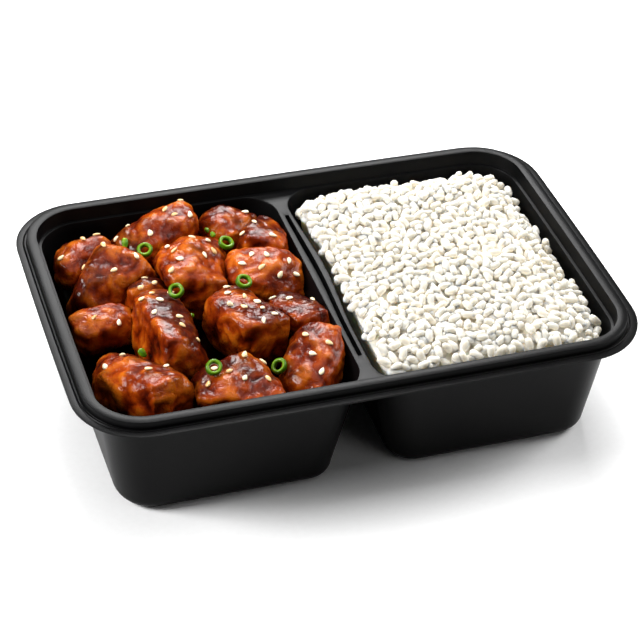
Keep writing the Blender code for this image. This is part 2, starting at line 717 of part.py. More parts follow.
def build_rice():
    draw = random.Random(RICE_DRAW)
    edge_points = []
    outline = rice_outline()
    for start, end in zip(outline, outline[1:] + outline[:1]):
        length = math.hypot(end[0] - start[0], end[1] - start[1])
        count = max(1, round(length / RICE_EDGE_PITCH))
        for k in range(count):
            edge_points.append((mix(start[0], end[0], k / count), mix(start[1], end[1], k / count)))
    points = [Vector(point) for point in edge_points]
    bumps = [0.0] * len(points)
    outer, inner, half_y, _, _, _ = tub_edges(1, DECK_Z, RICE_GAP)
    row_step = RICE_PITCH * math.sqrt(3) / 2
    rows = int(2 * half_y / row_step)
    columns = int((outer - inner) / RICE_PITCH)
    shape = [Vector((x, y)) for x, y in edge_points]
    for row in range(rows + 1):
        for column in range(columns + 1):
            x = inner + (column + 0.5 * (row % 2) + draw.uniform(-1, 1) * RICE_JITTER) * RICE_PITCH
            y = -half_y + row * row_step + draw.uniform(-1, 1) * RICE_JITTER * RICE_PITCH
            place = Vector((x, y))
            if distance_inside(place, shape) < RICE_BORDER * RICE_PITCH:
                continue
            points.append(place)
            raised = (column - row // 2 + row % 2) % 3 == 0
            bumps.append(RICE_BUMP * draw.uniform(*(BUMP_HIGH if raised else BUMP_LOW)))
    border = len(edge_points)
    rim_edges = [(k, (k + 1) % border) for k in range(border)]
    flat, _, faces, _, _, _ = delaunay_2d_cdt(points, rim_edges, [], 1, TOUCH)
    bm = bmesh.new()
    verts = [bm.verts.new((p.x, p.y, rice_height(p.x, p.y) + lift)) for p, lift in zip(flat, bumps)]
    for face in faces:
        bm.faces.new([verts[k] for k in face])
    below = [verts[:border]]
    for z, inset in ((RICE_WALL_FOOT, 0.0), (WALL + GAP, BASE_ROUND)):
        ring = edge_ring_below(edge_points, outline, z, inset + RICE_GAP)
        below.append([bm.verts.new(point) for point in ring])
    for high, low in zip(below, below[1:]):
        for k in range(border):
            after = (k + 1) % border
            bm.faces.new((high[k], low[k], low[after], high[after]))
    bm.faces.new(below[-1])
    bmesh.ops.triangulate(bm, faces=bm.faces)
    rice = add_object("rice", bm, make_material("cooked_rice", RICE_WHITE, 0.5))
    fuse(rice, loose_grains(rice, draw))
    return rice


def edge_ring_below(edge_points, outline, z, inset):
    """The mound's border lower down: the same steps round the compartment's outline there."""
    lower = tub_outline(1, z, inset)
    ring = []
    for side, (start, low_start) in enumerate(zip(outline, lower)):
        after = (side + 1) % len(outline)
        end, low_end = outline[after], lower[after]
        length = math.hypot(end[0] - start[0], end[1] - start[1])
        count = max(1, round(length / RICE_EDGE_PITCH))
        for k in range(count):
            t = k / count
            ring.append((mix(low_start[0], low_end[0], t), mix(low_start[1], low_end[1], t), z))
    return ring


def distance_inside(place, shape):
    """Distance to a closed outline, negative outside it."""
    nearest = 1.0
    crossings = 0
    for start, end in zip(shape, shape[1:] + shape[:1]):
        edge = end - start
        t = min(1.0, max(0.0, (place - start).dot(edge) / edge.length_squared))
        nearest = min(nearest, (place - start - edge * t).length)
        if (start.y > place.y) != (end.y > place.y):
            if place.x < start.x + (place.y - start.y) / (end.y - start.y) * edge.x:
                crossings += 1
    return nearest if crossings % 2 else -nearest


def loose_grains(rice, draw):
    """Grains that lie proud on the mound, mostly near its back and right edges."""
    tree = tree_of([rice])
    outer, inner, half_y, _, _, _ = tub_edges(1, DECK_Z, 0.0)
    blobs = []
    placed = []
    while len(blobs) < GRAIN_COUNT:
        if len(blobs) % 2:
            x = outer - GRAIN_MARGIN - abs(draw.gauss(0, 1)) * GRAIN_MARGIN
            y = draw.uniform(-1, 1) * GRAIN_SPREAD * half_y
        else:
            x = draw.uniform(inner + 2 * GRAIN_MARGIN, outer - 2 * GRAIN_MARGIN)
            y = half_y - GRAIN_MARGIN - abs(draw.gauss(0, 1)) * 2 * GRAIN_MARGIN
        if any(math.hypot(x - a, y - b) < GRAIN_APART for a, b in placed):
            continue
        hit, normal, _, _ = tree.ray_cast(Vector((x, y, DROP_FROM)), Vector((0, 0, -1)))
        if hit is None:
            continue
        placed.append((x, y))
        lean_x, lean_y = draw.uniform(-GRAIN_TILT, GRAIN_TILT), draw.uniform(-GRAIN_TILT, GRAIN_TILT)
        tilt = Vector((lean_x, lean_y, 1.0)).normalized()
        turn = square_frame(tilt, draw.uniform(0, math.tau))
        bm = bmesh.new()
        blob(bm, Vector(GRAIN_HALF) * MM, hit + Vector((0, 0, GRAIN_LIFT)), turn, GRAIN_STEPS, 2, 0.0)
        blobs.append(bm)
    return blobs


def build():
    clear_scene()
    tray = build_tray()
    chunks, built = build_chicken()
    rings = build_rings(list(built.values()))
    seed_chicken(chunks, built, rings)
    rice = build_rice()
    return [tray, rice] + list(built.values()) + rings


build()
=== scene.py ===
"""A bento meal in a black two-compartment tray: glazed chicken with sesame and spring onion, and rice."""

import math
import random

import bmesh
import bpy
import numpy as np
from mathutils import Matrix, Vector, noise
from mathutils.bvhtree import BVHTree


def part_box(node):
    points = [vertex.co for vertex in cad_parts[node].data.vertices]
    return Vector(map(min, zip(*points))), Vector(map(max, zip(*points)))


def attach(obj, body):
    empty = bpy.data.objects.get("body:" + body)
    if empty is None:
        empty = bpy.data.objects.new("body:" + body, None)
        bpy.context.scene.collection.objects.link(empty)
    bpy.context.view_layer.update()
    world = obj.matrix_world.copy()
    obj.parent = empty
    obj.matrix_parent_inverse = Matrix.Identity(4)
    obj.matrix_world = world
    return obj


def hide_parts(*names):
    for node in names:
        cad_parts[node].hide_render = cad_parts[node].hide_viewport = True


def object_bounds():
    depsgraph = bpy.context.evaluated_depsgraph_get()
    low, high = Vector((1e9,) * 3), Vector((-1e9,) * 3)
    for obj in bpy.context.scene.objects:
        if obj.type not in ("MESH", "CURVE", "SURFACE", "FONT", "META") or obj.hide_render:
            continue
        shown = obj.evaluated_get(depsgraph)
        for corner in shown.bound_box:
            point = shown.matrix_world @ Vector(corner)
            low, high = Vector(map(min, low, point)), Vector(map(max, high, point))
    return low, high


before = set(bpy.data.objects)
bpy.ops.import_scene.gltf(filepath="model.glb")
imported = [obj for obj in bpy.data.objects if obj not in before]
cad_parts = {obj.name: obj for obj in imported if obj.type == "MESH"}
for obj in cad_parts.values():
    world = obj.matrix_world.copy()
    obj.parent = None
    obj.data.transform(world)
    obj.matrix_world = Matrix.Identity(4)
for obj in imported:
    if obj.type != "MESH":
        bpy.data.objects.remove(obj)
cad_low, cad_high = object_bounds()

# The tray is one sheet of black polypropylene, 0.6 mm thick, drawn hot into a mould: a flange with a
# fine bead, a raised rim, a ledge for the lid, two tubs with a divider between them and a slot in it.
MM = 0.001
FLANGE_SIZE = (222.0, 148.8)
FLANGE_TOP = 49.0
FLANGE_RADIUS = 26.0
END_BOW = 0.9
SIDE_BOW = 0.6
RIM_STEPS = (
    (2.54, 0.0), (0.2, 0.3), (0.2, 0.1), (0.2, -0.1), (0.2, -0.3), (0.5, 0.0), (0.1, 0.1),
    (0.3, 2.5), (0.12, 0.28), (0.28, 0.12), (3.29, 0.0), (0.28, -0.12), (0.12, -0.28),
    (0.5, -5.0), (0.09, -0.2),
)
DECK_TOP = 46.4
TUB_TOP_X = (2.6, 100.73)
TUB_TOP_Y = 64.13
TUB_FLOOR_X = (12.1, 94.2)
TUB_FLOOR_Y = 60.4
TUB_RADII = (16.0, 13.0)
DIVIDER_BOW = 2.2
DIVIDER_BOW_MIDDLE = 10.0
DIVIDER_BOW_HALF = 42.0
LIP_SIZE = 0.4
LIP_STEPS = ((0.14, -0.03), (0.14, -0.10), (0.12, -0.27))
FLOOR_ROUND = 4.0
SHEET = 0.6
SLOT_X = (-0.8, 1.2)
SLOT_Y = (-46.5, 48.0)
SLOT_DEPTH = 4.0
SLOT_RADIUS = 0.8
EDGE_CUTS = 15


def select_only(piece):
    bpy.ops.object.select_all(action="DESELECT")
    piece.select_set(True)
    bpy.context.view_layer.objects.active = piece


def pick(kind, test):
    """Select, in edit mode, only the vertices, edges or faces that pass a test."""
    bpy.ops.mesh.select_mode(type={"verts": "VERT", "edges": "EDGE", "faces": "FACE"}[kind])
    bpy.ops.mesh.select_all(action="DESELECT")
    edited = bmesh.from_edit_mesh(bpy.context.object.data)
    for element in getattr(edited, kind):
        if test(element):
            element.select_set(True)
    edited.select_flush_mode()
    bmesh.update_edit_mesh(bpy.context.object.data)


def outline(name, x_range, y_range, height, radii, cuts):
    """One flat face with rounded corners, in edit mode: the first radius is the right one."""
    bpy.ops.object.select_all(action="DESELECT")
    middle = ((x_range[0] + x_range[1]) / 2 * MM, (y_range[0] + y_range[1]) / 2 * MM, height * MM)
    bpy.ops.mesh.primitive_plane_add(size=MM, location=middle)
    piece = bpy.context.object
    piece.name = name
    piece.scale = (x_range[1] - x_range[0], y_range[1] - y_range[0], 1.0)
    bpy.ops.object.transform_apply(location=True, rotation=True, scale=True)
    bpy.ops.object.mode_set(mode="EDIT")
    for side, radius in zip((1, -1), radii):
        pick("verts", lambda vert: (vert.co.x - middle[0]) * side > (x_range[1] - x_range[0]) * 0.499 * MM)
        bpy.ops.mesh.bevel(offset=radius * MM, segments=12, affect="VERTICES")
    pick("edges", lambda edge: edge.calc_length() > 2.2 * max(radii) / 8 * MM + MM)
    bpy.ops.mesh.subdivide(number_cuts=cuts)
    pick("faces", lambda face: True)
    return piece


def step_in(steps):
    """Inset the selected face again and again, each time by a width and a rise in millimetres."""
    for width, rise in steps:
        bpy.ops.mesh.inset(thickness=width * MM, depth=rise * MM, use_even_offset=True)


def bow_share(y):
    t = max(-1.0, min(1.0, (y - DIVIDER_BOW_MIDDLE) / DIVIDER_BOW_HALF))
    return math.cos(t * math.pi / 2) ** 2


def tub(side):
    """One compartment: a lip, a drafted wall and a round at the floor. The right one's divider wall bows."""
    x_top = sorted(side * x for x in (TUB_TOP_X[0] - LIP_SIZE, TUB_TOP_X[1] + LIP_SIZE))
    if side < 0:
        x_top[1] -= 0.1
    radii = TUB_RADII if side > 0 else TUB_RADII[::-1]
    y_top = (-TUB_TOP_Y - LIP_SIZE, TUB_TOP_Y + LIP_SIZE)
    piece = outline("tub", x_top, y_top, DECK_TOP, radii, EDGE_CUTS)
    step_in(LIP_STEPS)
    wall_top = DECK_TOP - LIP_SIZE
    wall_foot = SHEET + FLOOR_ROUND
    reach = (DECK_TOP - wall_foot) / (DECK_TOP - SHEET)
    near, far = (top + (foot - top) * reach for top, foot in zip(TUB_TOP_X, TUB_FLOOR_X))
    half_y = TUB_TOP_Y + (TUB_FLOOR_Y - TUB_TOP_Y) * reach
    middle_top = side * sum(TUB_TOP_X) / 2
    middle_foot = side * (near + far) / 2
    bpy.ops.mesh.extrude_region_move(
        TRANSFORM_OT_translate={"value": ((middle_foot - middle_top) * MM, 0, (wall_foot - wall_top) * MM)})
    bpy.ops.transform.resize(
        value=((far - near) / (TUB_TOP_X[1] - TUB_TOP_X[0]), half_y / TUB_TOP_Y, 1.0),
        center_override=(middle_foot * MM, 0, wall_foot * MM))
    pick("edges", lambda edge: abs(edge.verts[0].co.z - edge.verts[1].co.z) > 20 * MM)
    bpy.ops.mesh.subdivide(number_cuts=9)
    pick("faces", lambda face: face.calc_center_median().z < (wall_foot + 0.1) * MM and face.normal.z > 0.9)
    quarter = [math.radians(90 * k / 6) for k in range(7)]
    step_in([(FLOOR_ROUND * (math.cos(a) - math.cos(b)), FLOOR_ROUND * (math.sin(a) - math.sin(b)))
             for a, b in zip(quarter, quarter[1:])])
    bpy.ops.object.mode_set(mode="OBJECT")
    if side > 0:
        for vert in piece.data.vertices:
            fall = (DECK_TOP - vert.co.z / MM) / (DECK_TOP - SHEET)
            edge = TUB_TOP_X[0] + (TUB_FLOOR_X[0] - TUB_TOP_X[0]) * fall
            if vert.co.x / MM < edge + 0.3:
                vert.co.x += DIVIDER_BOW * max(0.0, 1 - 1.5 * fall) * bow_share(vert.co.y / MM) * MM
    return piece


rim = outline("tray_skin", (-FLANGE_SIZE[0] / 2, FLANGE_SIZE[0] / 2),
              (-FLANGE_SIZE[1] / 2, FLANGE_SIZE[1] / 2),
              FLANGE_TOP, (FLANGE_RADIUS, FLANGE_RADIUS), EDGE_CUTS)
step_in(RIM_STEPS)
bpy.ops.mesh.delete(type="ONLY_FACE")
bpy.ops.object.mode_set(mode="OBJECT")
tubs = [tub(-1), tub(1)]
slot = outline("slot", SLOT_X, SLOT_Y, DECK_TOP, (SLOT_RADIUS, SLOT_RADIUS), EDGE_CUTS)
step_in(((0.12, -0.04), (0.06, -0.1), (0.04, -0.3), (0.06, 0.44 - SLOT_DEPTH)))
bpy.ops.object.mode_set(mode="OBJECT")
for vert in slot.data.vertices:
    share = 0.25 if vert.co.x / MM < sum(SLOT_X) / 2 else 0.5
    vert.co.x += share * DIVIDER_BOW * bow_share(vert.co.y / MM) * MM
select_only(rim)
for part in tubs + [slot]:
    part.select_set(True)
bpy.ops.object.join()
bpy.ops.object.mode_set(mode="EDIT")
pick("edges", lambda edge: edge.is_boundary and edge.verts[0].co.z < (DECK_TOP + 0.5) * MM)
bpy.ops.mesh.fill(use_beauty=True)
bpy.ops.mesh.select_all(action="SELECT")
bpy.ops.mesh.normals_make_consistent(inside=False)
bpy.ops.object.mode_set(mode="OBJECT")
if sum(face.normal.z * face.area for face in rim.data.polygons) < 0:
    rim.data.flip_normals()
for vert in rim.data.vertices:
    x, y = vert.co.x / MM, vert.co.y / MM
    vert.co.x += END_BOW * 2 * x / FLANGE_SIZE[0] * (1 - (2 * y / FLANGE_SIZE[1]) ** 2) * MM
    vert.co.y += SIDE_BOW * 2 * y / FLANGE_SIZE[1] * (1 - (2 * x / FLANGE_SIZE[0]) ** 2) * MM
tray = rim
tray.name = "tray_formed"


def finish_modifier(piece, kind, settings):
    select_only(piece)
    modifier = piece.modifiers.new(kind.lower(), kind)
    for key, value in settings.items():
        setattr(modifier, key, value)
    bpy.ops.object.modifier_apply(modifier=modifier.name)


finish_modifier(tray, "SOLIDIFY", {"thickness": SHEET * MM, "offset": -1.0, "use_even_offset": True})
finish_modifier(tray, "BEVEL", {"width": 0.14 * MM, "segments": 2, "limit_method": "ANGLE",
                                "angle_limit": math.radians(60)})
bpy.ops.object.shade_smooth_by_angle(angle=math.radians(32))


def linear(code):
    """An sRGB hex colour as linear light with full alpha."""
    parts = [int(code[k:k + 2], 16) / 255 for k in (1, 3, 5)]
    return tuple(c / 12.92 if c <= 0.04045 else ((c + 0.055) / 1.055) ** 2.4 for c in parts) + (1.0,)


def start_material(name, settings):
    """A new material with its shader's own sockets set; returns the material, its tree and the shader."""
    made = bpy.data.materials.new(name)
    made.use_nodes = True
    shader = made.node_tree.nodes["Principled BSDF"]
    for key, value in settings.items():
        shader.inputs[key].default_value = value
    return made, made.node_tree, shader


def add_node(tree, kind, settings=None, links=None, ramp=None):
    """Add one node: settings name properties or inputs, links feed inputs, a ramp lists its stops."""
    node = tree.nodes.new("ShaderNode" + kind)
    for key, value in (settings or {}).items():
        if isinstance(key, str) and hasattr(node, key):
            setattr(node, key, value)
        else:
            node.inputs[key].default_value = value
    for key, socket in (links or {}).items():
        tree.links.new(socket, node.inputs[key])
    if ramp:
        stops = node.color_ramp.elements
        while len(stops) < len(ramp):
            stops.new(0.5)
        for stop, (place, colour) in zip(stops, ramp):
            stop.position = place
            stop.color = linear(colour) if isinstance(colour, str) else (colour, colour, colour, 1.0)
    return node


# Black polypropylene, drawn hot: satin, a little rougher where the mould was, so broad soft reflections
# and thin bright lines along its edges. The mould's grain is 0.35 mm, drawn faint.
plastic, tree, shader = start_material("black_polypropylene_formed", {
    "Metallic": 0.0, "IOR": 1.49, "Specular IOR Level": 0.085})
place = add_node(tree, "TexCoord").outputs["Object"]
cloud = add_node(tree, "TexNoise", {"Scale": 1 / (22 * MM), "Detail": 3.0, "Roughness": 0.5},
                 {"Vector": place})
grain = add_node(tree, "TexNoise", {"Scale": 1 / (0.35 * MM), "Detail": 2.0, "Roughness": 0.6},
                 {"Vector": place})
satin = add_node(tree, "MapRange", {"To Min": 0.35, "To Max": 0.43}, {"Value": cloud.outputs["Fac"]})
shade = add_node(tree, "ValToRGB", None, {"Fac": cloud.outputs["Fac"]},
                 ramp=[(0.3, "#040405"), (0.7, "#080808")])
relief = add_node(tree, "Bump", {"Strength": 0.25, "Distance": 0.02 * MM}, {"Height": grain.outputs["Fac"]})
tree.links.new(shade.outputs["Color"], shader.inputs["Base Color"])
tree.links.new(satin.outputs["Result"], shader.inputs["Roughness"])
tree.links.new(relief.outputs["Normal"], shader.inputs["Normal"])
tray.data.materials.clear()
tray.data.materials.append(plastic)
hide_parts("tray")
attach(tray, "root")

# Cooked short-grain rice, pressed into a mound: plump moist grains of about 5.5 by 3.1 mm that lie
# on each other at random and stick where they touch. A core of the same rice lies under them.
GRAIN_HALF = (2.75, 1.66, 1.55)
GRAIN_DROPS = 19600
HEAP_CELL = 0.5
CORE_DEPTH = 3.2
CORE_SIDE = 2.4
SINK = 1.1
# Painted light: per mm up each grain from its middle the tone rises, so its under side is painted lighter
# (painted fill of the crevice shade) and its upper side darker
PAINTED_CREVICE_FILL = 0.52
PROUD = 0.8
EDGE_PROUD = 1.8
EDGE_REACH = 4.0
TOP_GAP = 0.3
HEAP_SMOOTHING = 14
CORE_VOXEL = 1.4
MOAT_DEPTH = 2.2
SPOTS_TRIED = 3
LEAN_INSIDE = 0.26
LEAN_AT_EDGE = 0.5
GRAIN_BEND = 0.16
GRAIN_FINE_END = 0.12
GRAIN_FULLNESS = 0.93
GRAIN_SIZES = (0.9, 1.08)
GRAIN_LENGTHS = (0.94, 1.08)
FOOTPRINT = 1.4
FOOTPRINT_INSIDE = 0.75
STEEPEST_RISE = 0.9
STEEPEST_ROLL = 0.7
LEVEL_AT_EDGE = 0.6
TONE_MIDDLE = 0.5
# Painted light: per mm that a grain stands above the heap's shape the tone rises, so low grains are painted
# lighter and high grains darker
PAINTED_LIGHT_PER_MM = 0.2
TONE_SPREAD = 0.12
RIM_CELLS = 6
ROUNDING_PASSES = 8
RAY_TOP = 80.0
rice_low, rice_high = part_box("rice")


def copy_solid(node, name):
    """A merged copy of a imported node's mesh, alone and active."""
    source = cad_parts[node]
    piece = bpy.data.objects.new(name, source.data.copy())
    bpy.context.scene.collection.objects.link(piece)
    piece.data.transform(source.matrix_world)
    piece.data.materials.clear()
    select_only(piece)
    bpy.ops.object.mode_set(mode="EDIT")
    bpy.ops.mesh.select_all(action="SELECT")
    bpy.ops.mesh.remove_doubles(threshold=0.00001)
    bpy.ops.object.mode_set(mode="OBJECT")
    return piece


def search_tree(piece):
    points = [vert.co.copy() for vert in piece.data.vertices]
    return BVHTree.FromPolygons(points, [list(face.vertices) for face in piece.data.polygons])


def height_map(tree, low, high, cell):
    """Heights in millimetres of what a tree shows from above, on a square grid."""
    columns = int((high[0] - low[0]) / MM / cell) + 1
    rows = int((high[1] - low[1]) / MM / cell) + 1
    heights = np.full((columns, rows), -1.0)
    for column in range(columns):
        for row in range(rows):
            start = Vector((low[0] + column * cell * MM, low[1] + row * cell * MM, RAY_TOP * MM))
            hit = tree.ray_cast(start, Vector((0, 0, -1)))[0]
            if hit is not None:
                heights[column, row] = hit.z / MM
    return heights


def smoothed(heights, times):
    """Average each cell with its neighbours, leaving out what lies outside the heap."""
    inside = heights > 0
    for _ in range(times):
        total, weight = np.zeros_like(heights), np.zeros_like(heights)
        for across in (-1, 0, 1):
            for along in (-1, 0, 1):
                total += np.roll(heights * inside, (across, along), (0, 1))
                weight += np.roll(inside, (across, along), (0, 1))
        heights = np.where(inside, total / np.maximum(weight, 1), heights)
    return heights


core = copy_solid("rice", "rice_core")
target = smoothed(height_map(search_tree(core), rice_low, rice_high, HEAP_CELL), HEAP_SMOOTHING)
finish_modifier(core, "REMESH", {"mode": "VOXEL", "voxel_size": CORE_VOXEL * MM})
finish_modifier(core, "SMOOTH", {"factor": 0.5, "iterations": ROUNDING_PASSES})
finish_modifier(core, "DISPLACE", {"strength": -CORE_SIDE * MM, "mid_level": 0.0})
wide = target.copy()
for _ in range(RIM_CELLS):
    for axis in (0, 1):
        for step in (-1, 1):
            beside = np.roll(wide, step, axis)
            wide = np.where((wide < 0) & (beside > 0), beside, wide)
for vert in core.data.vertices:
    column = min(target.shape[0] - 1, max(0, round((vert.co.x - rice_low[0]) / MM / HEAP_CELL)))
    row = min(target.shape[1] - 1, max(0, round((vert.co.y - rice_low[1]) / MM / HEAP_CELL)))
    vert.co.z = min(vert.co.z, (wide[column, row] - CORE_DEPTH) * MM)
bpy.ops.object.shade_smooth()
heap = height_map(search_tree(core), rice_low, rice_high, HEAP_CELL)
heap = np.where((target > 0) & (heap < 0), target - CORE_DEPTH - MOAT_DEPTH, heap)
border = target > 0
for _ in range(int(EDGE_REACH / HEAP_CELL)):
    beside = np.roll(border, 1, 0) & np.roll(border, -1, 0) & np.roll(border, 1, 1) & np.roll(border, -1, 1)
    border = border & beside
draw = random.Random(41)


def grain_shape():
    """One cooked grain: a rounded bar, thicker at the middle, a little bent, with one finer end."""
    bpy.ops.object.select_all(action="DESELECT")
    bpy.ops.mesh.primitive_uv_sphere_add(segments=8, ring_count=6, radius=1.0, rotation=(0, math.pi / 2, 0))
    grain = bpy.context.object
    bpy.ops.object.transform_apply(rotation=True)
    for vert in grain.data.vertices:
        x, y, z = vert.co
        fullness = (1 - x ** 4) ** 0.5 / max(0.05, (1 - x * x) ** 0.5) if abs(x) < 0.97 else 1.0
        taper = 1 - GRAIN_FINE_END * x
        girth = fullness * taper * GRAIN_FULLNESS
        vert.co = (x, y * girth + GRAIN_BEND * (x * x - 0.4), z * girth)
    points = np.array([vert.co for vert in grain.data.vertices])
    faces = [tuple(face.vertices) for face in grain.data.polygons]
    bpy.data.objects.remove(grain, do_unlink=True)
    return points, faces


def drop_grains(drops):
    """Drop grains one by one, each at the lowest of a few spots. One that would stand too high goes."""
    placed = []
    open_cells = np.argwhere(target > 0)
    reach = int(GRAIN_HALF[0] * 1.15 / HEAP_CELL) + 1
    top = rice_high[2] / MM - TOP_GAP
    for _ in range(drops):
        choices = [open_cells[draw.randrange(len(open_cells))] for _ in range(SPOTS_TRIED)]
        column, row = max(choices, key=lambda cell: target[cell[0], cell[1]] - heap[cell[0], cell[1]])
        c0, c1, r0, r1 = column - reach, column + reach + 1, row - reach, row + reach + 1
        if c0 < 0 or r0 < 0 or c1 > target.shape[0] or r1 > target.shape[1]:
            continue
        size = draw.uniform(*GRAIN_SIZES)
        half = np.array(GRAIN_HALF) * size * (draw.uniform(*GRAIN_LENGTHS), 1, 1)
        heading = draw.uniform(0, math.tau)
        direction = np.array([math.cos(heading), math.sin(heading)])
        window = heap[c0:c1, r0:r1]
        gx, gy = np.meshgrid((np.arange(c0, c1) - column) * HEAP_CELL,
                             (np.arange(r0, r1) - row) * HEAP_CELL, indexing="ij")
        along = gx * direction[0] + gy * direction[1]
        across = -gx * direction[1] + gy * direction[0]
        spot = (along / half[0]) ** 2 + (across / half[1]) ** 2
        near = spot < FOOTPRINT
        if np.any(target[c0:c1, r0:r1][spot < FOOTPRINT_INSIDE] < 0):
            continue
        inner = border[column, row]
        loose = LEAN_INSIDE if inner else LEAN_AT_EDGE
        proud = PROUD if inner or draw.random() < LEVEL_AT_EDGE else EDGE_PROUD
        rise = np.polyfit(along[near], window[near], 1)[0]
        roll = np.polyfit(across[near], window[near], 1)[0]
        pitch = math.atan(max(-STEEPEST_RISE, min(STEEPEST_RISE, rise))) + draw.gauss(0, loose)
        bank = math.atan(max(-STEEPEST_ROLL, min(STEEPEST_ROLL, roll)))
        turn = (Matrix.Rotation(heading, 3, "Z") @ Matrix.Rotation(-pitch, 3, "Y")
                @ Matrix.Rotation(bank, 3, "X"))
        axes = np.array(turn)
        form = axes @ np.diag(1 / half ** 2) @ axes.T
        slope = 2 * (form[0, 2] * gx + form[1, 2] * gy)
        rest = form[0, 0] * gx ** 2 + 2 * form[0, 1] * gx * gy + form[1, 1] * gy ** 2 - 1
        under = slope ** 2 - 4 * form[2, 2] * rest
        covers = under > 0
        root = np.sqrt(np.maximum(under, 0))
        lower = (-slope - root) / (2 * form[2, 2])
        upper = (-slope + root) / (2 * form[2, 2])
        height = np.max((window - lower)[covers]) - SINK
        if height > target[column, row] + proud or height + np.max(upper[covers]) > top:
            continue
        heap[c0:c1, r0:r1] = np.where(covers, np.maximum(window, height + upper), window)
        centre = np.array([rice_low[0] / MM + column * HEAP_CELL, rice_low[1] / MM + row * HEAP_CELL,
                           height])
        placed.append((centre, axes * half, height - target[column, row]))
    return placed


def join_copies(name, points, faces, places, tone, rise=0.0):
    """One mesh of many copies of a small shape, with an attribute that varies from copy to copy."""
    all_points, all_faces, tones = [], [], []
    for index, (centre, frame_axes, level) in enumerate(places):
        base = index * len(points)
        turned = points @ frame_axes.T
        all_points.append((turned + centre) * MM)
        all_faces += [tuple(base + k for k in face) for face in faces]
        # A rise per mm up each copy is added; for the rice grains this is painted light, lighter under sides
        # and darker upper sides
        tones += (tone(level) + rise * turned[:, 2]).tolist()
    mesh = bpy.data.meshes.new(name)
    mesh.from_pydata(np.concatenate(all_points).tolist(), [], all_faces)
    mesh.attributes.new("tone", "FLOAT", "POINT").data.foreach_set("value", tones)
    mesh.shade_smooth()
    piece = bpy.data.objects.new(name, mesh)
    bpy.context.scene.collection.objects.link(piece)
    return piece


grain_points, grain_faces = grain_shape()
# Rice tone, painted light: grains low in the heap lighter and high ones darker, with a random spread; each
# grain lighter below its middle and darker above
grains = join_copies(
    "rice_grains", grain_points, grain_faces, drop_grains(GRAIN_DROPS),
    lambda level: TONE_MIDDLE + PAINTED_LIGHT_PER_MM * level + draw.uniform(-TONE_SPREAD, TONE_SPREAD), PAINTED_CREVICE_FILL)

# Steamed rice: starch gel, so light goes some millimetres through it; moist, warm white, with painted light:
# creamier and lighter low down, greyer and darker high up
cooked, tree, shader = start_material("cooked_rice_steamed", {
    "Metallic": 0.0, "IOR": 1.38, "Specular IOR Level": 0.25, "Subsurface Weight": 1.0,
    "Subsurface Radius": (1.0, 0.9, 0.75), "Subsurface Scale": 6.0 * MM})
place = add_node(tree, "TexCoord").outputs["Object"]
tone = add_node(tree, "Attribute", {"attribute_name": "tone"}).outputs["Fac"]
fleck = add_node(tree, "TexNoise", {"Scale": 1 / (1.6 * MM), "Detail": 2.0}, {"Vector": place})
blend = add_node(tree, "Math", {"operation": "MULTIPLY_ADD", 1: 0.3}, {0: fleck.outputs["Fac"], 2: tone})
# Painted light: a low tone (under sides of grains, grains low in the heap, the core) gives a light cream, a
# painted fill of the shade in the crevices; a high tone (upper sides, grains standing high) gives a greyer,
# darker white, a painted dimming of the lit tops
white = add_node(tree, "ValToRGB", None, {"Fac": blend.outputs["Value"]},
                 ramp=[(0.2, "#fff5e3"), (0.72, "#f3eada"), (1.0, "#c2bfb6")])
moist = add_node(tree, "MapRange", {"To Min": 0.3, "To Max": 0.52}, {"Value": fleck.outputs["Fac"]})
relief = add_node(tree, "Bump", {"Strength": 0.3, "Distance": 0.08 * MM}, {"Height": fleck.outputs["Fac"]})
tree.links.new(white.outputs["Color"], shader.inputs["Base Color"])
tree.links.new(moist.outputs["Result"], shader.inputs["Roughness"])
tree.links.new(relief.outputs["Normal"], shader.inputs["Normal"])
for piece in (core, grains):
    piece.data.materials.append(cooked)
    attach(piece, "root")
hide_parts("rice")
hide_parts("rice")

# Browned pieces of chicken thigh, tossed in a boiled-down soy and sugar glaze: blocky lumps with rounded
# edges and shallow folds, lying on each other, amber where the glaze is thin and wine-dark where it is thick.
FOLD_SIZE = 8.0
FOLD_DEPTH = 1.9
CREASE_SIZE = 4.5
CREASE_DEPTH = 0.7
PLUMP = 0.35
# Heights in mm between which the chicken is darkened downwards to near-black: partly pooled sauce, partly
# painted shade between the pieces
SAUCE_AND_SHADE_LOW = 25.0
SAUCE_AND_SHADE_HIGH = 37.0
SEED_ROOM = 0.85
SEED_LIFT = 0.2
SEED_EDGE = 2.15
SEED_VERTS = (6, 24)
VOXEL_FINE = 0.8
VOXEL_COARSE = 1.2
LIFT_RANGE = 1.8
PASSES_BEFORE = 6
GLAZE_LEAST = 0.15
GLAZE_EVEN = 0.3
GLAZE_SHARE = 0.6
SIDE_SHARE = 0.45
TOP_SHARE = 0.55
PLACE_SHARE = 0.6
GLAZE_SIDE = {
    "chicken_far_left": (90, 0.5), "chicken_left": (200, 0.5), "chicken_back": (190, 0.45),
    "chicken_back_inner": (60, 0.6), "chicken_back_right": (100, 0.6), "chicken_middle_back": (20, 0.35),
    "chicken_right": (100, 0.15), "chicken_small_dark": (80, 0.9), "chicken_small_left": (90, 0.05),
    "chicken_middle": (20, 0.6), "chicken_middle_right": (40, 0.6), "chicken_right_dark": (60, 0.75),
    "chicken_front_left": (30, 0.5), "chicken_front": (100, 0.6), "chicken_front_right": (150, 0.45),
}
folds = bpy.data.textures.new("folds", "CLOUDS")
folds.noise_scale = FOLD_SIZE * MM
folds.noise_depth = 1
creases = bpy.data.textures.new("creases", "MUSGRAVE")
creases.musgrave_type = "RIDGED_MULTIFRACTAL"
creases.noise_scale = CREASE_SIZE * MM
creases.octaves = 2.0
creases.noise_intensity = 0.6


